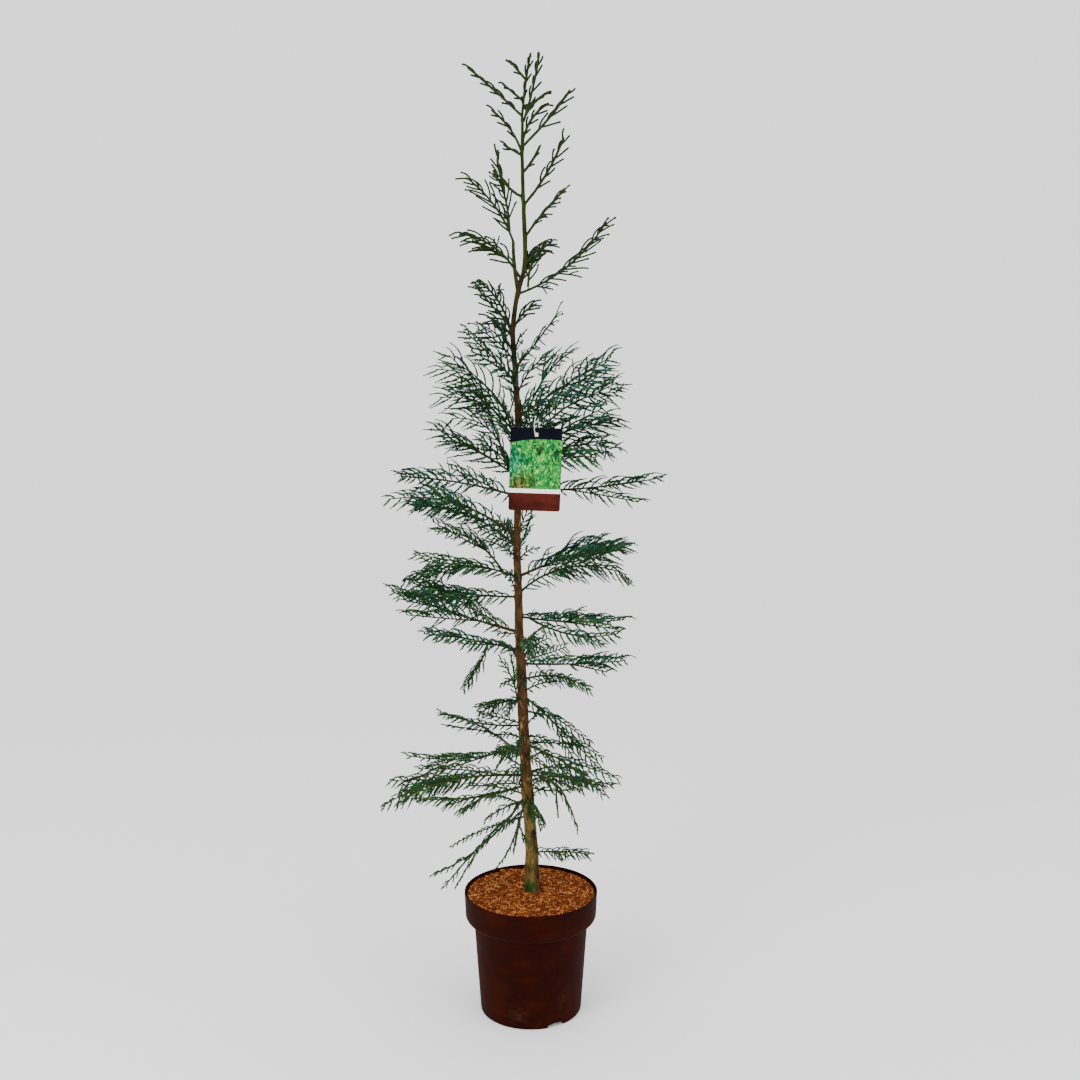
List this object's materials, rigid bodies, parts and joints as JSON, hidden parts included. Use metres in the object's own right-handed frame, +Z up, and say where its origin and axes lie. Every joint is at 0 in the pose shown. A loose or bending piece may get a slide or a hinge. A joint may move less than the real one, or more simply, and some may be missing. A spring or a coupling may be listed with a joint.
{
  "type": "young coast redwood tree in a nursery pot",
  "caption": "Young coast redwood with a slender trunk, drooping needle sprays and a hanging plant label, standing in a dark plastic nursery pot filled with bark mix.",
  "frame": {"origin": "middle of the pot's flat underside", "axes": "+Z up the trunk, -Y towards the side the label hangs on, +X to the right seen from there"},
  "size_m": [0.7701, 0.5801, 2.5521],
  "materials": {
    "pot": "moulded polypropylene with a soft sheen, very dark espresso brown",
    "potting_mix": "moist bark chips and coir, matt orange-brown",
    "bark": "thin fibrous bark, grey-tan at the foot, red-brown above and olive green at the top",
    "foliage": "short dark blue-green needles pressed along slim twigs",
    "label_card": null,
    "label_strap": "milky translucent plastic"
  },
  "bodies": {
    "root": {"pot": "pot", "potting_mix": "potting_mix", "trunk": "bark", "left_long_bough": "bark", "left_low_bow_bough": "bark", "left_dense_bough": "bark", "right_fan_bough": "bark", "right_spear_bough": "bark", "pruned_stub": "bark", "left_thin": "foliage", "left_sweep": "foliage", "left_under": "foliage", "left_long": "foliage", "left_wing": "foliage", "left_tuft": "foliage", "left_ladder": "foliage", "left_low_bow": "foliage", "left_green": "foliage", "left_bow": "foliage", "left_dense_low": "foliage", "left_dense": "foliage", "left_reach": "foliage", "left_plume_low": "foliage", "left_plume_high": "foliage", "left_lance": "foliage", "left_crown": "foliage", "left_top_fan": "foliage", "left_spike": "foliage", "left_feather": "foliage", "right_low": "foliage", "right_droop": "foliage", "right_step": "foliage", "right_sweep": "foliage", "right_arc": "foliage", "right_hook": "foliage", "right_comb": "foliage", "right_ridge": "foliage", "right_lower_fan": "foliage", "right_fan": "foliage", "right_spear": "foliage", "right_plume_low": "foliage", "right_plume_mid": "foliage", "right_plume_high": "foliage", "right_crest": "foliage", "right_top_long": "foliage", "right_spray": "foliage", "right_spike": "foliage", "right_feather": "foliage", "front_low": "foliage", "front_waist": "foliage", "label_spray": "foliage", "back_low": "foliage", "back_mid": "foliage", "back_waist": "foliage", "back_high": "foliage", "stub_plume": "foliage", "top_shoot": "foliage", "second_top_shoot": "foliage", "label_card": "label_card", "label_strap": "label_strap"}
  },
  "joints": []
}
